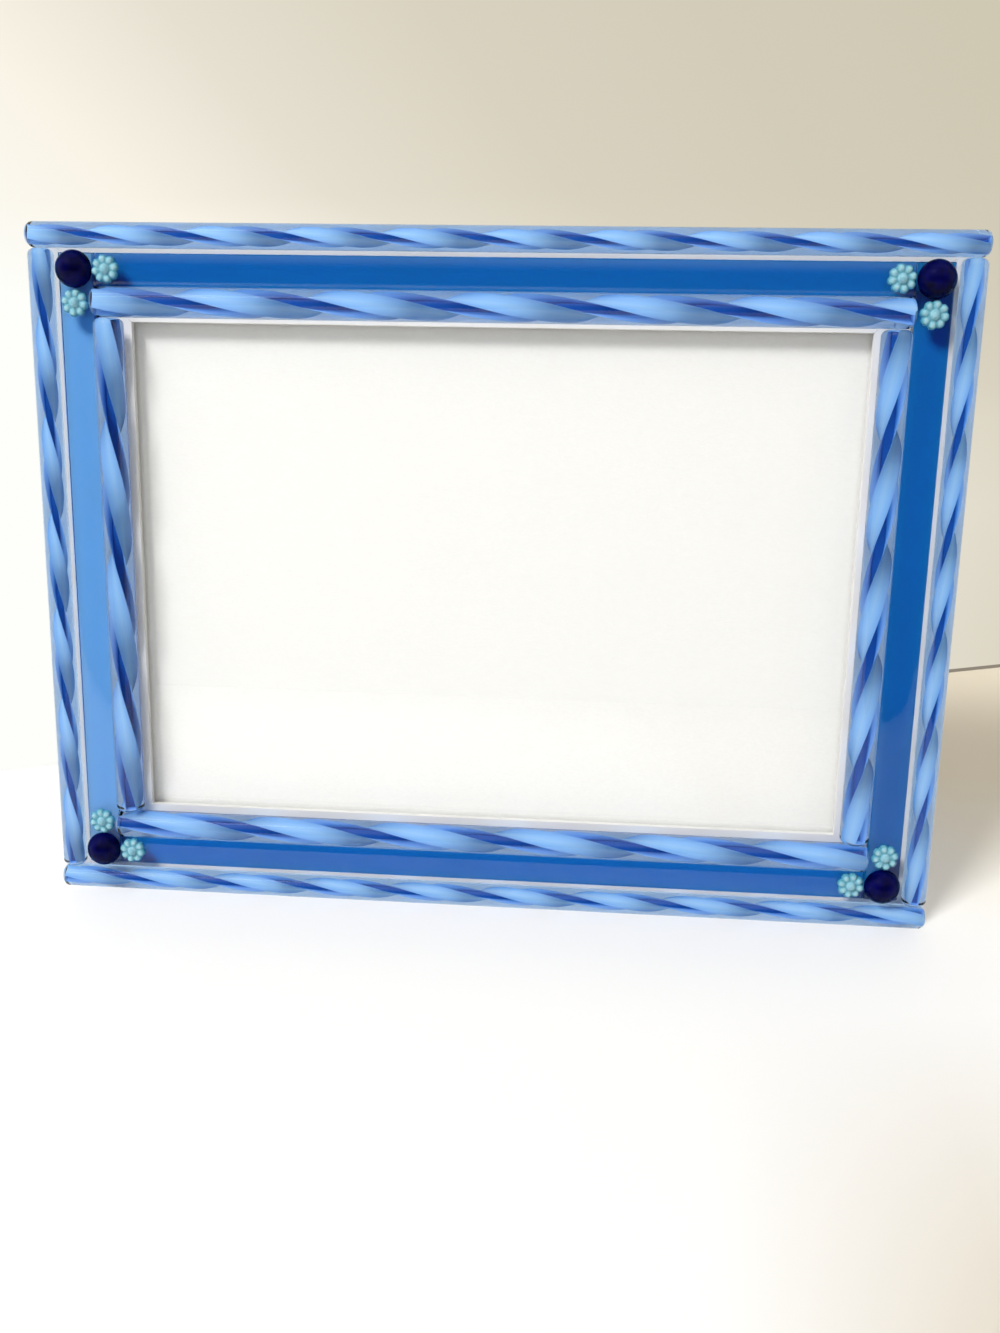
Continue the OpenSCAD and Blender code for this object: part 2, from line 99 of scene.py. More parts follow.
# %% Camera
bpy.ops.object.select_all(action="DESELECT")
bpy.ops.object.camera_add(
    location=(25.6 * MM, -282.61 * MM, 187.31 * MM),
    rotation=(math.radians(64.536), math.radians(0.013), math.radians(4.89)),
)
camera = bpy.context.object
camera.data.lens = 33.38
camera.data.sensor_width = 36
camera.data.clip_start = 0.01
bpy.context.scene.camera = camera

# %% [markdown]
# ## Colours and nodes
#
# Colours are written as the hex values that a paint program shows. Blender works in linear light, so one
# function turns them. One more function adds a shader node with its settings and its links, which keeps
# each material short enough to read.

# %% Colour and node helpers
def colour(hex_value):
    """Turns an sRGB hex colour into the linear colour that Blender works in."""
    channels = [int(hex_value[i:i + 2], 16) / 255 for i in (1, 3, 5)]
    return tuple(c / 12.92 if c <= 0.04045 else ((c + 0.055) / 1.055) ** 2.4 for c in channels) + (1.0,)


def add_node(tree, kind, sockets=None, **settings):
    """Adds a node. sockets maps an input's name or number to a value, or to the output to link to it."""
    node = tree.nodes.new("ShaderNode" + kind)
    for name, value in settings.items():
        setattr(node, name, value)
    for key, value in (sockets or {}).items():
        if isinstance(value, bpy.types.NodeSocket):
            tree.links.new(value, node.inputs[key])
        else:
            node.inputs[key].default_value = value
    return node


def blend_colours(tree, share, stops):
    """Colours along a ramp: stops are (place, hex colour), and share is the output that picks the place."""
    highest = max(1.0, stops[-1][0])
    if highest > 1:
        share = add_node(tree, "Math", {0: share, 1: highest}, operation="DIVIDE").outputs[0]
        stops = [(place / highest, hex_value) for place, hex_value in stops]
    ramp = add_node(tree, "ValToRGB", {"Fac": share})
    while len(ramp.color_ramp.elements) < len(stops):
        ramp.color_ramp.elements.new(0.5)
    for element, (place, hex_value) in zip(ramp.color_ramp.elements, stops):
        element.position = place
        element.color = colour(hex_value)
    return ramp.outputs["Color"]


def new_finish(name, **sockets):
    """A material with its shader's own sockets set. Returns the material, its tree and its shader."""
    material = bpy.data.materials.new(name)
    material.use_nodes = True
    shader = material.node_tree.nodes["Principled BSDF"]
    for key, value in sockets.items():
        shader.inputs[key.replace("_", " ")].default_value = value
    return material, material.node_tree, shader


def grains(tree, size, stretch=(1, 1, 1), detail=4.0, source=None):
    """Noise on the piece's own place, whose lumps are size metres across, times stretch."""
    place = source or add_node(tree, "TexCoord").outputs["Object"]
    laid = add_node(tree, "Mapping", {"Vector": place, "Scale": [1 / (size * s) for s in stretch]}).outputs[0]
    return add_node(tree, "TexNoise", {"Vector": laid, "Scale": 1.0, "Detail": detail}).outputs["Fac"]


def seeing_rays(tree):
    """Light Path, and 1 for the rays that the camera sees by: straight, in a mirror or through glass."""
    ray = add_node(tree, "LightPath")
    seen = ray.outputs["Is Camera Ray"]
    for way in ("Is Glossy Ray", "Is Transmission Ray"):
        seen = add_node(tree, "Math", {0: seen, 1: ray.outputs[way]}, operation="MAXIMUM").outputs[0]
    return ray, seen


def bump(tree, shader, height, depth, strength=1.0):
    """Raises the surface by up to depth metres where height is 1."""
    raised = add_node(tree, "Bump", {"Height": height, "Distance": depth, "Strength": strength})
    tree.links.new(raised.outputs[0], shader.inputs["Normal"])


def stain(red_lost, green_lost, blue_lost):
    """Colour and density of a stain. A loss of 700 leaves a third of that light after 1/700 of a metre."""
    most = max(red_lost, green_lost, blue_lost)
    return [1 - lost / most for lost in (red_lost, green_lost, blue_lost)] + [1.0], most


def fill_glass(tree, tint, density):
    """Glass that is stained all through: light loses colour with every millimetre that it passes."""
    stained = add_node(tree, "VolumeAbsorption", {"Color": tint, "Density": density})
    tree.links.new(stained.outputs[0], tree.nodes["Material Output"].inputs["Volume"])


# %% [markdown]
# ## Clear glass, stained glass
#
# The canes are soda-lime glass that was drawn by hand from a hot gather. Its IOR is 1.52 and its fire
# polished skin has no roughness, but drawing leaves long soft waves, so a shallow bump about 9 mm long
# makes the light wander a little along the cane.
#
# The strips are cut from sheet glass that is stained all through. A surface colour alone would look like
# paint. Volume absorption is used instead, so the glass is deep blue where the light goes through all of
# it and paler along the polished edges. The densities are set from how much light is left after 3 mm.
#
# A lamp's light can't be traced through a clear round cane, which would leave everything under it in the
# dark. So the clear pieces throw no shadow, and what is under them is lit as if it lay in the open. The
# ribbons throw none either, except the inner one on the left, whose shadow greys the carrier's edge there.

# %% Glass finishes
def drawn_glass():
    material, tree, shader = new_finish(
        "pale_grey_blue_soda_lime_glass_drawn", Base_Color=(1, 1, 1, 1), Transmission_Weight=1.0,
        Roughness=0.01, IOR=1.52
    )
    bump(tree, shader, grains(tree, 9 * MM, detail=1.0), 0.05 * MM)
    fill_glass(tree, *stain(160, 88, 28))
    return material


def sheet_glass(name, red_lost, green_lost, blue_lost):
    material, tree, shader = new_finish(
        name, Base_Color=(1, 1, 1, 1), Transmission_Weight=1.0, Roughness=0.015, IOR=1.52
    )
    bump(tree, shader, grains(tree, 14 * MM, detail=2.0), 0.06 * MM)
    fill_glass(tree, *stain(red_lost, green_lost, blue_lost))
    return material


clear_glass = drawn_glass()
blue_glass = sheet_glass("cobalt_blue_sheet_glass_slumped", 1900, 515, 150)
# painted reflection: the bottom strip's glass is stained brighter for the white table that it mirrors, and
# the left strip's paler for the bright light on the left
bright_glass_for_painted_reflection = sheet_glass("cobalt_sheet_glass_brighter_for_painted_reflection", 1700, 470, 115)
pale_glass_for_painted_reflection = sheet_glass("cobalt_sheet_glass_paler_for_painted_reflection", 490, 205, 24)

# %% [markdown]
# The ribbon inside a cane is a flat bar of opaque glass with light blue faces. Its two narrow sides are
# hollow, and the navy glass lies at the bottom of the hollow. So the faces show as bright lenses, and the
# navy shows only where a side is turned to the viewer, as the short dark lenses between them. A place
# stored on its points, "laid", says where they lay before it was twisted: x runs from -1 to 1 over its
# width and is more than 1 in the hollow, and y is millimetres along it. The navy and the drawn streaks
# read it, so they follow however it twists. It is fused into the clear glass, and no light is turned back
# where glass meets glass, so it has no specular.

# %% Ribbon finish
# from the middle of a broad face to the bottom of a hollow: light blue faces, painted lighter towards their
# middle as a painted highlight, and navy glass in the hollow
RIBBON_COLOURS_AND_PAINTED_HIGHLIGHT = [
    (0.12, "#badbfe"), (0.5, "#a9d3fe"), (1.0, "#8fc0fa"),
    (1.18, "#80b1f3"), (1.3, "#488ed4"), (1.38, "#1f60ae"),
]
IN_HOLLOW = 1.3


def ribbon_glass():
    material, tree, shader = new_finish(
        "light_blue_ribbon_glass_fused", Roughness=0.5, Specular_IOR_Level=0.0, Subsurface_Weight=0.35,
        Subsurface_Radius=(1.0, 1.0, 1.0), Subsurface_Scale=0.9 * MM
    )
    laid = add_node(tree, "Attribute", attribute_name="laid").outputs["Vector"]
    across = add_node(tree, "SeparateXYZ", {0: laid}).outputs["X"]
    from_middle = add_node(tree, "Math", {0: across}, operation="ABSOLUTE").outputs[0]
    streaks = grains(tree, 1.0, stretch=(0.16, 14.0, 1), detail=2.0, source=laid)
    shifted = add_node(tree, "Math", {0: streaks, 1: 0.24, 2: from_middle}, operation="MULTIPLY_ADD")
    paint = blend_colours(tree, shifted.outputs[0], RIBBON_COLOURS_AND_PAINTED_HIGHLIGHT)
    tree.links.new(paint, shader.inputs["Base Color"])
    return material


ribbon_finish = ribbon_glass()

# %% [markdown]
# ## Shaping by hand, in code
#
# Every new piece starts as a primitive and is shaped in edit mode. An operator acts on whatever is
# selected, so a function deselects everything before a primitive is added, and another picks vertices,
# edges or faces by their place. A last one seats the finished piece: it takes the place into the mesh, so
# that the object itself stays at the origin, and says which body the piece rides on.

# %% Shaping helpers
def clear_bench():
    """Leaves edit mode and deselects everything before the next primitive."""
    if bpy.context.mode != "OBJECT":
        bpy.ops.object.mode_set(mode="OBJECT")
    bpy.ops.object.select_all(action="DESELECT")


def name_piece(name):
    """Names the primitive that was just added and opens it for shaping."""
    piece = bpy.context.object
    piece.name = piece.data.name = name
    bpy.ops.object.mode_set(mode="EDIT")
    return piece


def pick(kind, test):
    """Selects the VERT, EDGE or FACE elements of the piece in edit mode that pass the test."""
    bpy.ops.mesh.select_mode(type=kind)
    bpy.ops.mesh.select_all(action="DESELECT")
    mesh = bmesh.from_edit_mesh(bpy.context.edit_object.data)
    found = [e for e in {"VERT": mesh.verts, "EDGE": mesh.edges, "FACE": mesh.faces}[kind] if test(e)]
    for element in found:
        element.select_set(True)
    mesh.select_flush_mode()
    bmesh.update_edit_mesh(bpy.context.edit_object.data)
    return len(found)


def close_piece(piece, smooth_below=50, flats=True, flat_above=None):
    """Ends the shaping: normals point outwards, edges flatter than the angle look round, flats stay flat.
    A face larger than flat_above square metres shares none of its shading with its bevels."""
    bpy.ops.mesh.select_all(action="SELECT")
    bpy.ops.mesh.normals_make_consistent(inside=False)
    bpy.ops.object.mode_set(mode="OBJECT")
    bpy.ops.object.shade_smooth_by_angle(angle=math.radians(smooth_below))
    if flat_above:
        bpy.ops.object.mode_set(mode="EDIT")
        pick("EDGE", lambda e: any(f.calc_area() > flat_above for f in e.link_faces))
        bpy.ops.mesh.mark_sharp()
        bpy.ops.object.mode_set(mode="OBJECT")
    if flats:
        even = piece.modifiers.new("flats stay flat", "WEIGHTED_NORMAL")
        even.weight, even.keep_sharp = 100, True
        bpy.ops.object.modifier_apply(modifier=even.name)
    return piece


SHADED = ("inner_cane_left.ribbon",)


def seat(piece, place, material, body, slot, *nodes):
    """Puts a piece made at the origin on its place, gives it its finish and body, lets its slot decide
    whether it throws a shadow, and hides the CAD nodes it replaces.
    """
    piece.data.transform(place)
    piece.data.materials.clear()
    piece.data.materials.append(material)
    piece.visible_shadow = slot not in ("cane_glass", "strip_glass", "pane_glass") or piece.name in SHADED
    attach(piece, body)
    if nodes:
        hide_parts(*nodes)
    return piece


def copy_piece(piece, name):
    """A copy with a mesh of its own."""
    twin = bpy.data.objects.new(name, piece.data.copy())
    twin.data.name = name
    bpy.context.scene.collection.objects.link(twin)
    return twin


LAID_LEVEL = Matrix.Rotation(math.radians(90), 4, "Y")
FACING_FRONT = Matrix.Rotation(math.radians(90), 4, "X")


def on_board(x, y, z, turn=Matrix.Identity(4)):
    """The matrix of a place on the board, in millimetres, with the piece turned first."""
    return board @ Matrix.Translation((x * MM, y * MM, z * MM)) @ turn


# %% [markdown]
# ## The glass canes
#
# A cane is a straight round rod with fire polished ends. A cylinder is the right start. Its two end rings
# are bevelled with a radius of 1.5 mm, which is what a short time in a flame does to a cut end. It has 96
# sides, because facets would show as stripes in the glass.
#
# Inside is the ribbon. It could be swept along a helix, but twisting is how it is really made: the rod is
# turned while it is drawn. So it starts as a straight flat bar. Its narrow sides are inset and pushed in
# for the hollows, the rims are bevelled, and the bar is cut into short lengths and twisted with a Simple
# Deform modifier, which is then applied.
#
# A ribbon lies with its broad face towards the viewer once every half turn. The distances between those
# places, and one such place for each cane, were measured in the photograph. The viewer looks at each cane
# a little from above or from the side, and that angle is taken off. The canes were drawn one by one, and
# most are twisted to the right, but the two on the left are twisted to the left.

# %% Canes and ribbons
CANE_END = 1.5 * MM
EYE = (25.6, 269.0, 44.2)      # the viewer from the middle of the canes, in millimetres on the board
RIBBON_RIM, GROOVE = 0.19, 0.75    # the groove's rim and its depth, as shares of the ribbon's thickness


def clear_cane(name, thickness, length):
    clear_bench()
    bpy.ops.mesh.primitive_cylinder_add(vertices=96, radius=thickness / 2, depth=length)
    cane = name_piece(name)
    half = length / 2 - 0.01 * MM
    pick("EDGE", lambda e: min(v.co.z for v in e.verts) > half or max(v.co.z for v in e.verts) < -half)
    bpy.ops.mesh.bevel(offset=CANE_END, segments=8, affect="EDGES")
    return close_piece(cane)


def runs_along(edge):
    return abs(edge.verts[0].co.z - edge.verts[1].co.z) > MM


def twisted_ribbon(name, width, thickness, length, half_turn, hand, start_angle):
    """A flat bar that turns once in two half turns. hand is 1 for a right-hand twist, -1 for a left."""
    clear_bench()
    bpy.ops.mesh.primitive_cube_add(size=1)
    ribbon = name_piece(name)
    bpy.ops.transform.resize(value=(width, thickness, length), center_override=(0, 0, 0))
    pick("FACE", lambda f: abs(f.normal.x) > 0.9)
    bpy.ops.mesh.inset(thickness=thickness * RIBBON_RIM, use_individual=True)
    floor_at = 1 - GROOVE * thickness / (width / 2)
    bpy.ops.transform.resize(value=(floor_at, 1, 1), center_override=(0, 0, 0))
    pick("EDGE", lambda e: runs_along(e) and min(abs(v.co.x) for v in e.verts) > 0.49 * width)
    bpy.ops.mesh.bevel(offset=thickness * RIBBON_RIM * 0.45, segments=3, affect="EDGES")
    for cuts in (12, 24):
        pick("EDGE", runs_along)
        bpy.ops.mesh.subdivide(number_cuts=cuts)
    close_piece(ribbon, flats=False)
    laid = ribbon.data.attributes.new("laid", "FLOAT_VECTOR", "POINT")
    places = []
    for v in ribbon.data.vertices:
        across = v.co.x / (width / 2)
        in_hollow = abs(across) < floor_at + 0.1 * (1 - floor_at)
        places.append((math.copysign(IN_HOLLOW, across) if in_hollow else across, v.co.z / MM, 0))
    laid.data.foreach_set("vector", [number for place in places for number in place])
    twist = ribbon.modifiers.new("drawn with a twist", "SIMPLE_DEFORM")
    twist.deform_method, twist.deform_axis = "TWIST", "Z"
    twist.angle = hand * math.pi * length / half_turn
    bpy.ops.object.modifier_apply(modifier=twist.name)
    ribbon.data.transform(Matrix.Rotation(start_angle, 4, "Z"))
    return ribbon


# name, level, x and z of its axis, thickness, length, a place where the ribbon faces the viewer,
# half turn, hand: all in millimetres
CANES = [
    ("outer_cane_top", True, 0, 77.15, 5.7, 213, -79.8, 22.33, 1),
    ("outer_cane_bottom", True, 0, -77.15, 5.7, 213, -78.7, 22.39, 1),
    ("outer_cane_left", False, -103.65, 0, 5.7, 148.3, 47.3, 22.59, -1),
    ("outer_cane_right", False, 103.65, 0, 5.7, 148.3, 48.2, 22.42, 1),
    ("inner_cane_top", True, 0, 62.6, 6.8, 183.6, -86.4, 30.96, 1),
    ("inner_cane_bottom", True, 0, -62.6, 6.8, 183.6, -74.2, 31.19, 1),
    ("inner_cane_left", False, -88.4, 0, 6.8, 118.1, 50.1, 31.0, -1),
    ("inner_cane_right", False, 88.4, 0, 6.8, 118.1, 48.8, 25.1, 1),
]
# width and thickness of the ribbon in each thickness of cane, and how far it ends before the cane does
RIBBONS = {5.7: (2.55, 1.4), 6.8: (3.7, 2.1)}
RIBBON_BACK = 0.8

for node, level, x, z, thickness, length, faces_at, half_turn, hand in CANES:
    width, depth = RIBBONS[thickness]
    seen_from = math.atan2(z - EYE[2], EYE[1]) if level else math.atan2(EYE[0] - x, EYE[1])
    start = seen_from - hand * math.pi * faces_at / half_turn
    place = on_board(x, -GLUE / MM - thickness / 2, z, LAID_LEVEL if level else Matrix.Identity(4))
    cane = clear_cane(node + ".glass", thickness * MM, length * MM)
    seat(cane, place, clear_glass, "frame", "cane_glass", node)
    ribbon = twisted_ribbon(
        node + ".ribbon", width * MM, depth * MM, (length - 2 * RIBBON_BACK) * MM, half_turn * MM, hand, start
    )
    seat(ribbon, place, ribbon_finish, "frame", "cane_glass")
    print(node, "half turns:", round(length / half_turn, 1), "ribbon faces:", len(ribbon.data.polygons))

# %% [markdown]
# ## The flat strips
#
# A strip is cut from 3 mm sheet glass and slumped a little in the kiln, so its face is crowned: it falls
# back by four tenths of a millimetre towards the two long edges. That is why only the upper part of the
# top strip mirrors the bright ceiling. A cube is scaled to the size, its front is cut into lengthways
# bands, and the bands are moved back by the third power of their distance from the middle. The long front
# edges are then rounded to 0.35 mm, and the others are only broken with a stone, about 0.12 mm.
#
# The strip on the left is stained paler than the others, and the one at the bottom a little brighter: a
# painted reflection, of the bright light on the left and of the white table in front.

# %% Strips
STRIP_THICK = 3.0
CROWN = 0.42 * MM
BANDS = 16
ROUNDED, BROKEN = 0.35 * MM, 0.12 * MM


def glass_strip(name, width, length):
    clear_bench()
    bpy.ops.mesh.primitive_cube_add(size=1)
    strip = name_piece(name)
    bpy.ops.transform.resize(value=(width, STRIP_THICK * MM, length), center_override=(0, 0, 0))
    front = -STRIP_THICK * MM / 2 + 0.01 * MM
    pick("EDGE", lambda e: all(v.co.y < front for v in e.verts) and not runs_along(e))
    bpy.ops.mesh.subdivide(number_cuts=BANDS - 1)
    pick("VERT", lambda v: v.co.y < front)
    mesh = bmesh.from_edit_mesh(strip.data)
    for v in mesh.verts:
        if v.select:
            v.co.y += CROWN * abs(v.co.x / (width / 2)) ** 3
    bmesh.update_edit_mesh(strip.data)

    def on_front_rim(vertex):
        return vertex.co.y < front + CROWN and abs(vertex.co.x) > 0.49 * width

    pick("EDGE", lambda e: runs_along(e) and all(on_front_rim(v) for v in e.verts))
    bpy.ops.mesh.bevel(offset=ROUNDED, segments=5, affect="EDGES")
    pick("EDGE", lambda e: e.calc_face_angle(0) > math.radians(50))
    bpy.ops.mesh.bevel(offset=BROKEN, segments=2, affect="EDGES")
    return close_piece(strip)


STRIPS = [
    ("strip_top", True, 0, 69.75, 7.3, 183.6, blue_glass),
    ("strip_bottom", True, 0, -69.75, 7.3, 183.6, bright_glass_for_painted_reflection),
    ("strip_left", False, -95.9, 0, 8.0, 146.8, pale_glass_for_painted_reflection),
    ("strip_right", False, 95.9, 0, 8.0, 146.8, blue_glass),
]
for node, level, x, z, width, length, material in STRIPS:
    strip = glass_strip(node + ".glass", width * MM, length * MM)
    place = on_board(x, -GLUE / MM - STRIP_THICK / 2, z, LAID_LEVEL if level else Matrix.Identity(4))
    seat(strip, place, material, "frame", "strip_glass", node)
print("strips:", len(STRIPS))

# %% [markdown]
# ## The corner domes
#
# Each corner has a dome of navy glass, so deep that no light gets through and it looks nearly black, with a
# faint swirl of a lighter navy from the melt. It slumped into its shape in the kiln, so it is a cap of a
# ball over a short straight band. The cap is cut from a ball with bisect, and its open rim is extruded
# down for the band and closed. The foot gets a small bevel, because molten glass keeps no sharp edge. In
# the photograph the domes mirror next to nothing, so their specular level is low.

# %% Domes
DOME_WIDTH, DOME_HEIGHT, DOME_BAND = 8.4, 3.8, 0.5


def dome_bead(name):
    cap = DOME_HEIGHT - DOME_BAND
    ball = ((DOME_WIDTH / 2) ** 2 + cap ** 2) / (2 * cap)
    clear_bench()
    bpy.ops.mesh.primitive_uv_sphere_add(segments=96, ring_count=64, radius=ball * MM)
    dome = name_piece(name)
    bpy.ops.mesh.select_all(action="SELECT")
    bpy.ops.transform.translate(value=(0, 0, (DOME_HEIGHT - ball) * MM))
    bpy.ops.mesh.bisect(plane_co=(0, 0, DOME_BAND * MM), plane_no=(0, 0, 1), clear_inner=True)
    pick("EDGE", lambda e: e.is_boundary)
    bpy.ops.mesh.extrude_edges_move(TRANSFORM_OT_translate={"value": (0, 0, -DOME_BAND * MM)})
    bpy.ops.mesh.edge_face_add()
    pick("EDGE", lambda e: all(v.co.z < 0.01 * MM for v in e.verts))
    bpy.ops.mesh.bevel(offset=0.15 * MM, segments=3, affect="EDGES")
    return close_piece(dome, 60, flats=False)


def navy_bead_glass():
    material, tree, shader = new_finish(
        "navy_glass_slumped", Roughness=0.2, IOR=1.52, Specular_IOR_Level=0.06
    )
    swirl = grains(tree, 3.0 * MM, detail=3.0)
    paint = blend_colours(tree, swirl, [(0.35, "#010126"), (0.65, "#04054f")])
    tree.links.new(paint, shader.inputs["Base Color"])
    bump(tree, shader, grains(tree, 4 * MM, detail=1.0), 0.04 * MM)
    return material


navy_glass = navy_bead_glass()
BEAD_BACK = -2 * GLUE / MM - STRIP_THICK
DOME_X, DOME_Z = 95.9, 69.75
first_dome = dome_bead("corner_dome.pattern")
corners = [(side, level) for level in ("top", "bottom") for side in ("left", "right")]
SIGN = {"left": -1, "right": 1, "top": 1, "bottom": -1}
for side, level in corners:
    node = f"corner_dome_{level}_{side}"
    dome = copy_piece(first_dome, node + ".bead")
    place = on_board(SIGN[side] * DOME_X, BEAD_BACK, SIGN[level] * DOME_Z, FACING_FRONT)
    seat(dome, place, navy_glass, "frame", "navy_glass", node)
bpy.data.objects.remove(first_dome)
print("domes:", len(corners))

# %% [markdown]
# ## The turquoise flowers
#
# The flower beads are pressed glass: eight round petals about a raised eye. A disc of 64 sides is raised ring
# by ring with extrude and resize, as a potter raises a bowl. Then the lines between the petals are picked by
# their angle, drawn in towards the middle and pushed down, and a Subdivision Surface rounds the whole. The
# height of each point above the deepest groove is stored on the points, and the finish paints by it: darker
# in the grooves as painted shade, and paler on the raised petals as a painted highlight.

# %% Flower finish
def flower_glass():
    material, tree, shader = new_finish(
        "turquoise_glass_pressed", Roughness=0.16, IOR=1.5, Subsurface_Weight=0.25,
        Subsurface_Radius=(0.6, 1.0, 1.2), Subsurface_Scale=1.0 * MM
    )
    rise_for_painted_light = add_node(tree, "Attribute", attribute_name="rise_for_painted_light").outputs["Fac"]
    specks = grains(tree, 0.7 * MM, detail=3.0)
    mixed = add_node(tree, "Math", {0: specks, 1: 0.5, 2: rise_for_painted_light}, operation="MULTIPLY_ADD").outputs[0]
    lowered = add_node(tree, "Math", {0: mixed, 1: 0.25}, operation="SUBTRACT").outputs[0]
    # painted shade and highlight: darker in the grooves, paler on the raised petals, with random specks mixed
    # in
    paint = blend_colours(
        tree, lowered, [(0.05, "#5ba7bd"), (0.38, "#8dc6d7"), (0.66, "#b2dae5"), (0.95, "#d4ecf1")]
    )
    tree.links.new(paint, shader.inputs["Base Color"])
    bump(tree, shader, grains(tree, 0.5 * MM, detail=2.0), 0.03 * MM)
    return material


flower_finish = flower_glass()

# %% Flowers
PETALS = 8
FLOWER_WIDTH, FLOWER_FOOT = 6.4, 0.2
EYE_SHARE, GROOVE_IN_SHARE = 0.36, 0.17
# how high the grooves between the petals begin, and how deep they are pressed at a height of GROOVE_AT
GROOVE_FROM, GROOVE_DEPTH, GROOVE_AT = 0.5 * MM, 0.5 * MM, 1.5 * MM
# (radius as a share of the flower's, height in mm) of each ring from the rim to the eye
FLOWER_RINGS = [
    (1.0, 0.75), (0.93, 1.15), (0.76, 1.5), (0.56, 1.42),
    (0.40, 1.05), (0.33, 1.2), (0.28, 1.75), (0.14, 2.12),
]


def flower_bead(name):
    rim = FLOWER_WIDTH / 2 * MM
    clear_bench()
    bpy.ops.mesh.primitive_cylinder_add(
        vertices=PETALS * 8, radius=rim, depth=FLOWER_FOOT * MM, location=(0, 0, FLOWER_FOOT / 2 * MM)
    )
    flower = name_piece(name)
    pick("FACE", lambda f: f.normal.z > 0.9)
    share, height = 1.0, FLOWER_FOOT
    for next_share, next_height in FLOWER_RINGS:
        lift = (next_height - height) * MM
        bpy.ops.mesh.extrude_region_move(TRANSFORM_OT_translate={"value": (0, 0, lift)})
        k = next_share / share
        bpy.ops.transform.resize(value=(k, k, 1), center_override=(0, 0, 0))
        share, height = next_share, next_height
    mesh = bmesh.from_edit_mesh(flower.data)
    for v in mesh.verts:
        radius, angle = v.co.xy.length / rim, math.atan2(v.co.y, v.co.x)
        if radius < EYE_SHARE:
            continue
        groove = 1 - abs(math.sin(angle * PETALS / 2))
        groove = groove ** 1.6 * min(1.0, (radius - EYE_SHARE) / 0.2)
        v.co.xy *= 1 - GROOVE_IN_SHARE * groove * radius
        if v.co.z > GROOVE_FROM:
            v.co.z -= GROOVE_DEPTH * groove * (v.co.z / GROOVE_AT)
    bmesh.update_edit_mesh(flower.data)
    close_piece(flower, 180, flats=False)
    rounding = flower.modifiers.new("pressed round", "SUBSURF")
    rounding.levels = rounding.render_levels = 1
    bpy.ops.object.modifier_apply(modifier=rounding.name)
    rise_for_painted_light = flower.data.attributes.new("rise_for_painted_light", "FLOAT", "POINT")
    lowest, highest, eye_rise = 0.9 * MM, 1.75 * MM, 0.42
    heights = [min(1.0, max(0.0, (v.co.z - lowest) / (highest - lowest))) for v in flower.data.vertices]
    in_eye = [v.co.xy.length < 0.30 * rim for v in flower.data.vertices]
    rise_for_painted_light.data.foreach_set("value", [eye_rise if eye else height for eye, height in zip(in_eye, heights)])
    return flower


BEAD_STEP = 7.45
first_flower = flower_bead("flower.pattern")
for side, level in corners:
    for row, along, up in (("a", BEAD_STEP, 0), ("b", 0, BEAD_STEP)):
        node = f"rosette_{level}_{side}_{row}"
        flower = copy_piece(first_flower, node + ".bead")
        x, z = SIGN[side] * (DOME_X - along), SIGN[level] * (DOME_Z - up)
        angle = 0.37 * (along + 2 * up) * SIGN[side] + SIGN[level]   # no two lie alike
        turned = FACING_FRONT @ Matrix.Rotation(angle, 4, "Z")
        seat(flower, on_board(x, BEAD_BACK, z, turned), flower_finish, "frame", "turquoise_glass", node)
print("flowers:", 2 * len(corners), "triangles each about", 2 * len(first_flower.data.polygons))
bpy.data.objects.remove(first_flower)

# %% [markdown]
# ## Pieces that the CAD already shapes well
#
# The wooden rails, the boards and the hinge have their true shape in the CAD, but its edges are razor
# sharp, and no sawn, painted or stamped edge is. So each is copied, its loose triangles are merged, its
# flat faces are joined again, and its sharp edges get a bevel as wide as the process leaves: a quarter of
# a millimetre on lacquered wood, a tenth on stamped steel. Only the copy is changed.

# %% Soft edges for CAD shapes
def soften(node, width, material, body, slot, segments=2, flat_above=None, play=0):
    """A copy of a CAD piece with bevelled edges. With play, its faces also draw back by that much."""
    clear_bench()
    piece = bpy.data.objects.new(node + ".made", frame["nodes"][node].data.copy())
    bpy.context.scene.collection.objects.link(piece)
    piece.select_set(True)
    bpy.context.view_layer.objects.active = piece
    bpy.ops.mesh.customdata_custom_splitnormals_clear()
    bpy.ops.object.mode_set(mode="EDIT")
    bpy.ops.mesh.select_all(action="SELECT")
    bpy.ops.mesh.remove_doubles(threshold=0.002 * MM)
    bpy.ops.mesh.dissolve_limited(angle_limit=math.radians(0.5))
    if play:
        bpy.ops.mesh.normals_make_consistent(inside=False)
        bpy.ops.transform.shrink_fatten(value=-play, use_even_offset=True)
    bpy.ops.object.mode_set(mode="OBJECT")
    edge = piece.modifiers.new("worn edge", "BEVEL")
    edge.width, edge.segments, edge.angle_limit = width, segments, math.radians(32)
    edge.limit_method = "ANGLE"
    bpy.ops.object.modifier_apply(modifier=edge.name)
    bpy.ops.object.mode_set(mode="EDIT")
    close_piece(piece, flat_above=flat_above)
    seat(piece, Matrix.Identity(4), material, body, slot, node)
    return piece


# %% [markdown]
# ## White lacquer
#
# The carrier is made of wood that was primed, sanded and sprayed with white lacquer. The lacquer is satin,
# about 0.3 rough, and slightly warm. Under it the grain still telegraphs as faint ridges along each rail,
# so the level rails and the upright ones get the same finish with the grain turned.

# %% Lacquer finish
def white_lacquer(name, along):
    """along says how far the grain is stretched over x, y and z."""
    material, tree, shader = new_finish(name, Roughness=0.32, IOR=1.5, Coat_Weight=0.15, Coat_Roughness=0.12)
    grain = grains(tree, 0.45 * MM, stretch=along, detail=3.0)
    patches = grains(tree, 18 * MM, detail=2.0)
    paint = blend_colours(tree, patches, [(0.3, "#f8f7f3"), (0.7, "#fcfbf9")])
    tree.links.new(paint, shader.inputs["Base Color"])
    bump(tree, shader, grain, 0.02 * MM)
    return material


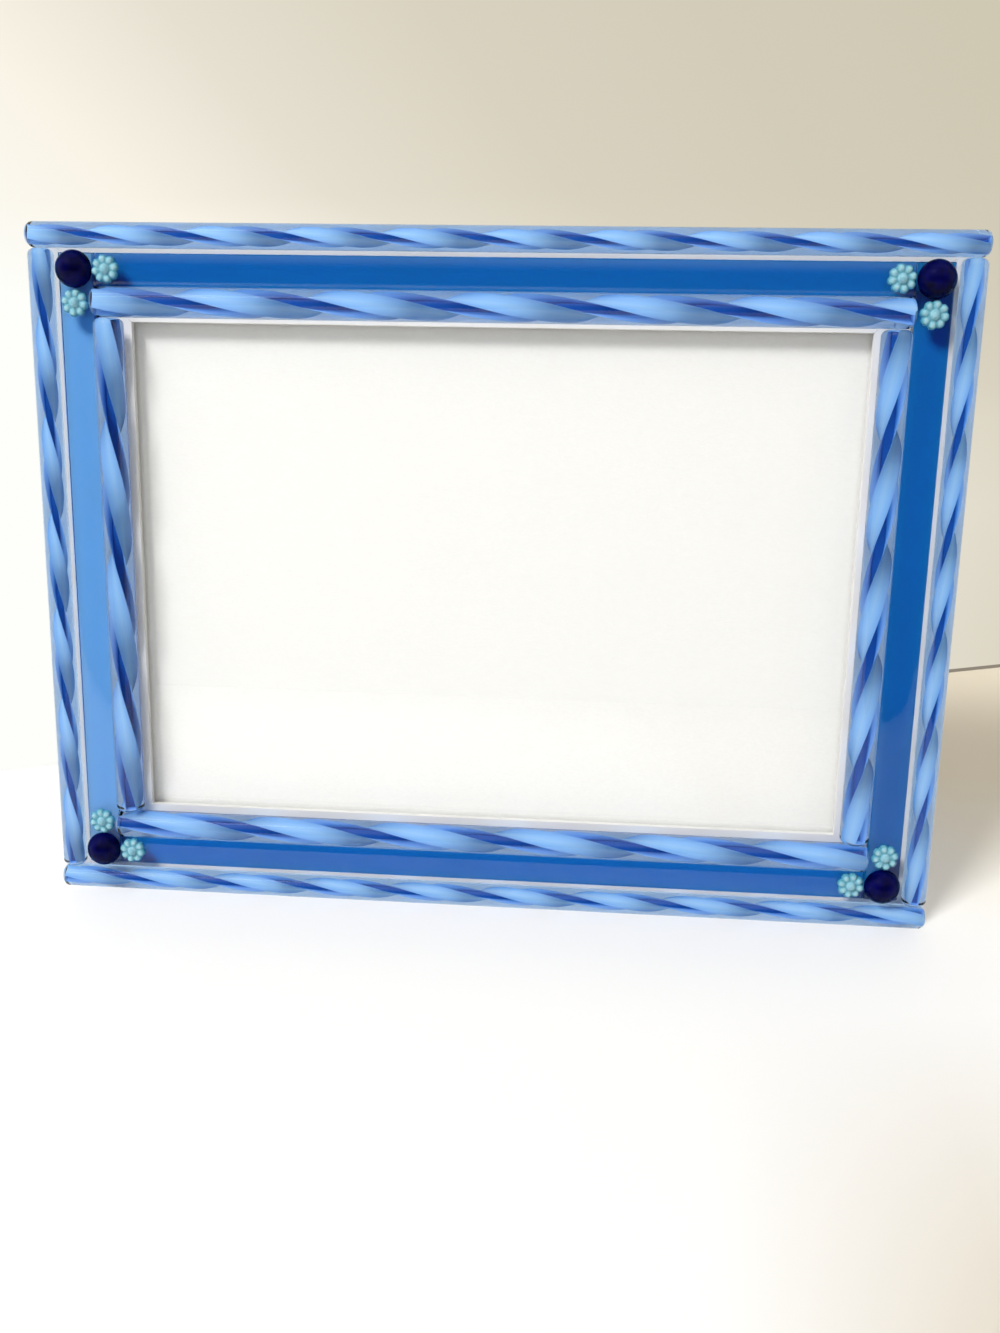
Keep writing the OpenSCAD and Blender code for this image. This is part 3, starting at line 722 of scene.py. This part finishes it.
lacquer_level = white_lacquer("white_lacquer_on_wood_level_grain", (30, 1, 1))
lacquer_upright = white_lacquer("white_lacquer_on_wood_upright_grain", (1, 1, 30))
for side in ("top", "bottom", "left", "right"):
    lacquer = lacquer_level if side in ("top", "bottom") else lacquer_upright
    soften("carrier_rail_" + side, 0.25 * MM, lacquer, "frame", "white_lacquer")
print("rails: 4")

# %% [markdown]
# ## Pane and card
#
# The pane is 2 mm float glass, and float glass is flat and clear, with a breath of green from its iron.
# Picture glass has a coating that takes most of its gloss, so its specular level is a fifth of bare glass.
# Behind it lies a blank white card with a fine felt of paper fibres, drawn about 0.35 mm across so that it
# can show at all. The two touch in the CAD, but a film of air always stays between a pane and a card. Faces
# that coincide would also leave it open which of them the light meets first, so both draw back by 0.03 mm.
#
# The pane is flat, so the way of lamp light through it can be worked out. Cycles calls this a shadow
# caustic: the pane is its caster and the card its receiver. The light meets the card more squarely, so
# the shadow of the carrier's edge on it is shorter than it would be without glass, as in the photograph.

# %% Pane and card
def float_glass():
    material, tree, shader = new_finish(
        "float_glass_pane_coated", Base_Color=(1, 1, 1, 1), Transmission_Weight=1.0, Roughness=0.0, IOR=1.52,
        Specular_IOR_Level=0.1
    )
    bump(tree, shader, grains(tree, 60 * MM, detail=0.0), 0.01 * MM)
    fill_glass(tree, colour("#e3f6ee"), 6.0)
    return material


def card_stock():
    material, tree, shader = new_finish("white_card_matt", Roughness=0.85, IOR=1.45)
    fibres = grains(tree, 0.35 * MM, stretch=(2.5, 1, 1), detail=5.0)
    paint = blend_colours(tree, fibres, [(0.3, "#f4f5f4"), (0.7, "#f9faf9")])
    tree.links.new(paint, shader.inputs["Base Color"])
    bump(tree, shader, fibres, 0.03 * MM)
    return material


PLAY = 0.03 * MM
WIDE_FACE = 0.01          # square metres
pane = soften(
    "glass_pane", 0.12 * MM, float_glass(), "frame", "pane_glass", flat_above=WIDE_FACE, play=PLAY
)
pane.cycles.is_caustics_caster = True
card = soften(
    "blank_card", 0.05 * MM, card_stock(), "frame", "white_card",
    segments=1, flat_above=WIDE_FACE, play=PLAY
)
card.cycles.is_caustics_receiver = True

# %% [markdown]
# ## The back: hardboard and velour
#
# The back board and the strut are hardboard, pressed from brown wood fibre, and covered with black velour
# paper. Velour has no gloss, but its short pile catches light at a low angle, so its shader has sheen. The
# pile leans in soft patches, which are painted lighter and darker as a painted sheen, and its flock is drawn
# as grains of a quarter of a millimetre.

# %% Board finishes
def hardboard():
    material, tree, shader = new_finish("hardboard_pressed_fibre", Roughness=0.7, IOR=1.45)
    fibres = grains(tree, 0.6 * MM, stretch=(4, 1, 1), detail=6.0)
    paint = blend_colours(tree, fibres, [(0.3, "#4a3220"), (0.55, "#6d4c32"), (0.8, "#8a6848")])
    tree.links.new(paint, shader.inputs["Base Color"])
    bump(tree, shader, fibres, 0.06 * MM)
    return material


def velour():
    material, tree, shader = new_finish(
        "black_velour_flocked_paper", Roughness=0.95, IOR=1.4, Specular_IOR_Level=0.2,
        Sheen_Weight=0.8, Sheen_Roughness=0.35, Sheen_Tint=colour("#8f93a0")
    )
    flock = grains(tree, 0.25 * MM, detail=3.0)
    # painted sheen: soft patches where the leaning pile looks lighter or darker
    pile_painted_sheen = grains(tree, 16 * MM, stretch=(1, 1, 2.2), detail=3.0)
    mixed = add_node(tree, "Math", {0: flock, 1: 0.55, 2: pile_painted_sheen}, operation="MULTIPLY_ADD").outputs[0]
    paint = blend_colours(tree, mixed, [(0.45, "#0f1013"), (0.8, "#1d1f24"), (1.0, "#2c2e35")])
    tree.links.new(paint, shader.inputs["Base Color"])
    bump(tree, shader, flock, 0.12 * MM)
    return material


fibre_board, black_velour = hardboard(), velour()
soften("back_board", 0.3 * MM, fibre_board, "frame", "hardboard")
soften("board_lining", 0.15 * MM, black_velour, "frame", "black_velour")
soften("strut_board", 0.3 * MM, fibre_board, "strut", "hardboard")
soften("strut_lining", 0.15 * MM, black_velour, "strut", "black_velour")

# %% [markdown]
# ## Hinge, rivets, turn buttons
#
# The hinge, the turn buttons and the mitre nails are sheet steel with a bright zinc plating. It is duller
# and a little bluer than chrome, with a fine spangle and the marks of the press, so its roughness wanders
# between 0.28 and 0.45. The rivets and screws are nickel plated: warmer, and smoother, with fine scratches
# from the tumbling drum.

# %% Metal finishes
def plated_metal(name, light, dark, smooth, rough, spangle):
    material, tree, shader = new_finish(name, Metallic=1.0)
    crystals = grains(tree, spangle, detail=4.0)
    scratches = grains(tree, 0.12 * MM, stretch=(14, 1, 1), detail=2.0)
    tree.links.new(blend_colours(tree, crystals, [(0.3, dark), (0.7, light)]), shader.inputs["Base Color"])
    worn = add_node(
        tree, "MapRange",
        {"Value": crystals, "From Min": 0.3, "From Max": 0.7, "To Min": smooth, "To Max": rough}
    )
    tree.links.new(worn.outputs[0], shader.inputs["Roughness"])
    bump(tree, shader, scratches, 0.01 * MM)
    return material


zinc = plated_metal("zinc_plated_steel_stamped", "#c9ced4", "#a9aeb6", 0.28, 0.45, 1.6 * MM)
nickel = plated_metal("nickel_plated_steel_turned", "#d8d1c4", "#bdb5a6", 0.16, 0.28, 0.9 * MM)
soften("mitre_nails", 0.08 * MM, zinc, "frame", "zinc_steel")
soften("hinge_plate", 0.12 * MM, zinc, "frame", "zinc_steel")
soften("hinge_pin", 0.12 * MM, zinc, "frame", "zinc_steel")
soften("plate_rivets", 0.06 * MM, nickel, "frame", "nickel")
soften("strut_channel", 0.12 * MM, zinc, "strut", "zinc_steel")
soften("channel_rivets", 0.06 * MM, nickel, "strut", "nickel")
soften("turn_button_screws", 0.06 * MM, nickel, "frame", "nickel")
for side, level in corners:
    node = f"turn_button_{level}_{side}"
    soften(node, 0.15 * MM, zinc, node, "zinc_steel")
print("metal pieces:", 7 + len(corners))

# %% [markdown]
# ## Table and wall
#
# The frame stands on a white table, close to a pale wall that runs away to the right. The table is one large
# plane. It keeps the frame's shadow, so it is a real surface, with a little shine of its own for the camera,
# because the photograph's table is nearly burnt out. Its white is painted creamier behind the frame on the
# right and towards the near right corner: painted shade, where less light falls. The wall shows no shadow, so
# it only has to look right: it shines with painted daylight and shade, bright on the left and shaded on the
# right, for the camera, in mirrors and through glass, and is left out of the light that falls on the frame.
# It is clear from behind, so that it hides nothing when the frame is looked at from the back. Under its lower
# edge stands a thin dark sheet, a painted shadow.

# %% Table
TABLE_SHINE = 0.10        # the share of its paint's colour that the table shines with for the camera


def white_table():
    material, tree, shader = new_finish("white_laminate_table", Roughness=0.55, IOR=1.45)
    parts = add_node(tree, "SeparateXYZ", {0: add_node(tree, "TexCoord").outputs["Object"]})

    def corner(*limits):
        """1 in one corner of the table, fading to 0 before the other three. limits holds, for x and for y,
        where the fading starts and where it ends."""
        reached = [
            add_node(tree, "MapRange", {"Value": parts.outputs[axis], "From Min": start, "From Max": end})
            for axis, (start, end) in zip("XY", limits)
        ]
        both = {number: node.outputs[0] for number, node in enumerate(reached)}
        return add_node(tree, "Math", both, operation="MULTIPLY").outputs[0]

    # painted shade: the white turns creamy behind the frame on the right and darker cream towards the near
    # right corner
    far_corner_painted_shade = corner((0.06, 0.13), (-0.03, 0.05))
    near_corner_painted_shade = corner((0.05, 0.10), (-0.06, -0.14))
    uneven_with_painted_shade = add_node(
        tree, "Math", {0: grains(tree, 90 * MM, detail=1.0), 1: 0.12, 2: far_corner_painted_shade}, operation="MULTIPLY_ADD"
    ).outputs[0]
    white = blend_colours(tree, uneven_with_painted_shade, [(0.08, "#f8f8f7"), (1.0, "#f4e9d3")])
    mixed = add_node(tree, "Mix", {0: near_corner_painted_shade, 6: white, 7: colour("#ddd5c6")}, data_type="RGBA")
    paint = mixed.outputs[2]
    tree.links.new(paint, shader.inputs["Base Color"])
    shine = add_node(tree, "Math", {0: seeing_rays(tree)[1], 1: TABLE_SHINE}, operation="MULTIPLY")
    tree.links.new(paint, shader.inputs["Emission Color"])
    tree.links.new(shine.outputs[0], shader.inputs["Emission Strength"])
    return material


clear_bench()
bpy.ops.mesh.primitive_plane_add(size=6)
table = bpy.context.object
table.name = "table"
table.data.materials.append(white_table())

# %% Wall
WALL_LEFT, WALL_RIGHT = Vector((-0.50, -0.0851, 0)), Vector((0.80, 0.3212, 0))
WALL_FOOT, WALL_TOP = 1.3 * MM, 1.2
# from the sunlit left to the shade on the right
WALL_COLOURS = [
    (0.0, "#fefffa"), (0.24, "#faf4e7"), (0.38, "#e6e0d1"),
    (0.56, "#d9d2c0"), (0.77, "#d2ccb9"), (1.0, "#cfc8b3"),
]


def bare_tree(name):
    """A material without a shader, and its tree."""
    material = bpy.data.materials.new(name)
    material.use_nodes = True
    material.node_tree.nodes.clear()
    return material, material.node_tree


def shine_in_front(tree, paint):
    """The surface shines with its own colour in front and is clear from behind."""
    shine = add_node(tree, "Emission", {"Color": paint, "Strength": 1.0})
    clear = add_node(tree, "BsdfTransparent")
    behind = add_node(tree, "NewGeometry").outputs["Backfacing"]
    shown = add_node(tree, "MixShader", {0: behind, 1: shine.outputs[0], 2: clear.outputs[0]})
    add_node(tree, "OutputMaterial", {"Surface": shown.outputs[0]})


def painted_wall():
    material, tree = bare_tree("pale_painted_wall")
    parts = add_node(tree, "SeparateXYZ", {0: add_node(tree, "TexCoord").outputs["Object"]})
    across, up = parts.outputs["X"], parts.outputs["Z"]
    # painted daylight and shade: bright towards the lower left, shaded towards the upper right
    slope = add_node(tree, "Math", {0: up, 1: 0.8, 2: across}, operation="MULTIPLY_ADD").outputs[0]
    share = add_node(tree, "MapRange", {"Value": slope, "From Min": -0.05, "From Max": 0.29}).outputs[0]
    # below 16 cm the painted light moves towards the bright end, and in the lowest 6 cm it falls back a
    # little towards the shade
    for low, high, change in ((0.09, 0.16, -0.3), (0.0, 0.06, 0.17)):
        below = add_node(tree, "MapRange", {"Value": up, "From Min": high, "From Max": low, "To Max": change})
        share = add_node(tree, "Math", {0: share, 1: below.outputs[0]}, operation="ADD").outputs[0]
    shine_in_front(tree, blend_colours(tree, share, WALL_COLOURS))
    return material


def upright_sheet(name, left, right, low, high, material):
    """A sheet that stands on the table between two points and is seen from the front."""
    clear_bench()
    bpy.ops.mesh.primitive_plane_add(size=1)
    panel = name_piece(name)
    bpy.ops.object.mode_set(mode="OBJECT")
    corners_at = [end + Vector((0, 0, height)) for height in (low, high) for end in (left, right)]
    for vertex, corner in zip(panel.data.vertices, corners_at):
        vertex.co = corner
    panel.data.materials.append(material)
    panel.visible_diffuse = False
    panel.visible_shadow = False
    return panel


# A sheet under the wall's lower edge that shows a painted shadow: pale on the left, darkest on the right.
def painted_foot_shadow():
    material, tree = bare_tree("painted_shadow_under_wall")
    across = add_node(tree, "SeparateXYZ", {0: add_node(tree, "TexCoord").outputs["Object"]}).outputs["X"]
    share = add_node(tree, "MapRange", {"Value": across, "From Min": -0.14, "From Max": 0.12}).outputs[0]
    shine_in_front(tree, blend_colours(tree, share, [(0.0, "#fefefb"), (0.5, "#b9b3a6"), (1.0, "#8f8779")]))
    return material


upright_sheet("wall", WALL_LEFT, WALL_RIGHT, WALL_FOOT, WALL_TOP, painted_wall())
upright_sheet("wall_foot_painted_shadow", WALL_LEFT, WALL_RIGHT, 0.0, WALL_FOOT, painted_foot_shadow())

# %% [markdown]
# ## Light
#
# Daylight comes from a window on the upper left, in front of the frame, and throws the soft shadow to the
# right and behind. One area lamp stands for it. The lamp would be too small and too bright to be mirrored
# in glass, so a larger and dimmer sheet in the same direction gives the glints.
#
# The world is a pale room. It looks white to the camera, in mirrors and through glass, but lights the
# frame at less than half of that, so nothing clips. The part where the photographer stands is mirrored
# dark, as if black cards stood there, and that keeps the blues deep. It fades out upwards, where the bright
# ceiling is, which the crowned strips mirror. A ray that has gone through glass counts as a mirrored one
# too, so those are taken out of that, or all that lies under glass would turn grey.

# %% Lamps
FRAME_MIDDLE = Vector((0, 0, 0.08))
WINDOW_WAY = Vector((-0.57, -0.52, 1.0)).normalized()


def soft_lamp(name, away, width, height, brightness, lights, mirrored):
    """An area lamp that faces the frame. A brightness of 1 looks white."""
    clear_bench()
    bpy.ops.object.light_add(type="AREA", location=FRAME_MIDDLE + away)
    lamp = bpy.context.object
    lamp.name = name
    lamp.data.shape = "RECTANGLE"
    lamp.data.size, lamp.data.size_y = width, height
    lamp.data.energy = brightness * math.pi * width * height
    lamp.rotation_euler = (-away).to_track_quat("-Z", "Y").to_euler()
    lamp.visible_camera = lamp.visible_transmission = False
    lamp.visible_diffuse, lamp.visible_glossy = lights, mirrored
    return lamp


WINDOW_FAR, WINDOW_SIZE = 2.2, 0.6
DAYLIGHT = 0.76           # how white a white sheet gets that faces the window
window = soft_lamp(
    "window", WINDOW_FAR * WINDOW_WAY, WINDOW_SIZE, WINDOW_SIZE,
    DAYLIGHT * math.pi * WINDOW_FAR ** 2 / WINDOW_SIZE ** 2, True, False
)
window.data.color = (1.0, 0.988, 0.97)
window.data.cycles.is_caustics_light = True
soft_lamp("window_glint", WINDOW_FAR * WINDOW_WAY, 0.8, 0.8, 3.0, False, True)

# %% World
ROOM_FILL = 0.46          # how bright the room is for the light that falls on the frame
MIRRORED_CARDS = 0.10     # how bright the black cards are
world = bpy.data.worlds.new("pale_room")
bpy.context.scene.world = world
world.use_nodes = True
room = world.node_tree
room.nodes.clear()
ray, seen = seeing_rays(room)
level = add_node(room, "MapRange", {"Value": seen, "To Min": ROOM_FILL, "To Max": 1.0}).outputs[0]

way = add_node(room, "SeparateXYZ", {0: add_node(room, "TexCoord").outputs["Generated"]})
ahead = add_node(room, "MapRange", {"Value": way.outputs["Y"], "From Min": -0.3, "From Max": -0.7}).outputs[0]
low = add_node(room, "MapRange", {"Value": way.outputs["Z"], "From Min": 0.66, "From Max": 0.36}).outputs[0]
front = add_node(room, "Math", {0: ahead, 1: low}, operation="MULTIPLY").outputs[0]
glossy, through = ray.outputs["Is Glossy Ray"], ray.outputs["Is Transmission Ray"]
mirrored = add_node(room, "Math", {0: glossy, 1: through}, operation="SUBTRACT")
mirrored.use_clamp = True
cards = add_node(room, "Math", {0: front, 1: mirrored.outputs[0]}, operation="MULTIPLY").outputs[0]
kept = add_node(room, "MapRange", {"Value": cards, "To Min": 1.0, "To Max": MIRRORED_CARDS}).outputs[0]
strength = add_node(room, "Math", {0: level, 1: kept}, operation="MULTIPLY").outputs[0]
glow = add_node(room, "Background", {"Color": colour("#f8f5f0"), "Strength": strength})
add_node(room, "OutputWorld", {"Surface": glow.outputs[0]})
bpy.context.scene.view_settings.view_transform = "Standard"
